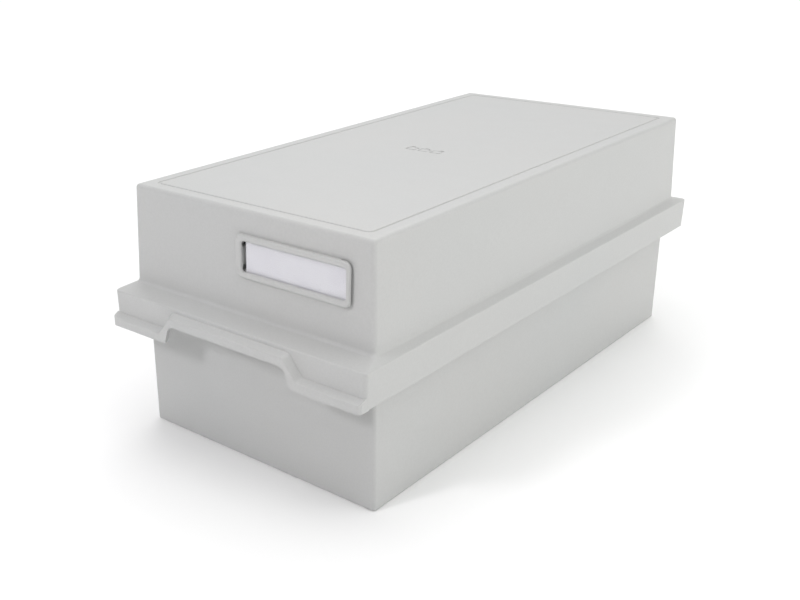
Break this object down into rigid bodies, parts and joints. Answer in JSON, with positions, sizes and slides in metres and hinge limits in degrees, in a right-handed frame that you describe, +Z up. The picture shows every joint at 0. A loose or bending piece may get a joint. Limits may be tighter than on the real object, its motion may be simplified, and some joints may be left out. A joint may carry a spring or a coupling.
{
  "type": "card index box",
  "caption": "Moulded card-index box: a deep lid with a finger-notched pull and a label holder lifts off a tray with a sliding card support.",
  "frame": {"origin": "centre of the tray's flat underside, at the surface the box stands on", "axes": "+Z up, -Y towards the front with the label holder and the pull, +X to the right seen from the front"},
  "size_m": [0.182, 0.3769, 0.1476],
  "materials": {
    "grey_plastic": "satin moulded polystyrene, light grey",
    "label_paper": "blank white card",
    "clear_plastic": "clear glossy cover",
    "plate_steel": "grey powder coat",
    "shoe_plastic": "dark grey, low-friction",
    "spring_steel": "bare spring strip",
    "rivet_aluminium": "bare"
  },
  "bodies": {
    "tray": {"tray": "grey_plastic"},
    "lid": {"lid": "grey_plastic", "label_frame": "grey_plastic"},
    "label": {"label_card": "label_paper", "label_cover": "clear_plastic"},
    "support": {"support_plate": "plate_steel", "support_shoe": "shoe_plastic", "shoe_spring": "spring_steel", "plate_rivets": "rivet_aluminium"}
  },
  "joints": [
    {"name": "lid_lift", "type": "slide", "parent": "tray", "child": "lid", "axis": [0, 0, 1], "range_m": [0, 0.12]},
    {"name": "label_slide", "type": "slide", "parent": "lid", "child": "label", "axis": [1, 0, 0], "range_m": [0, 0.08]},
    {"name": "support_slide", "type": "slide", "parent": "tray", "child": "support", "axis": [0, 1, 0], "range_m": [-0.19, 0.03]}
  ]
}
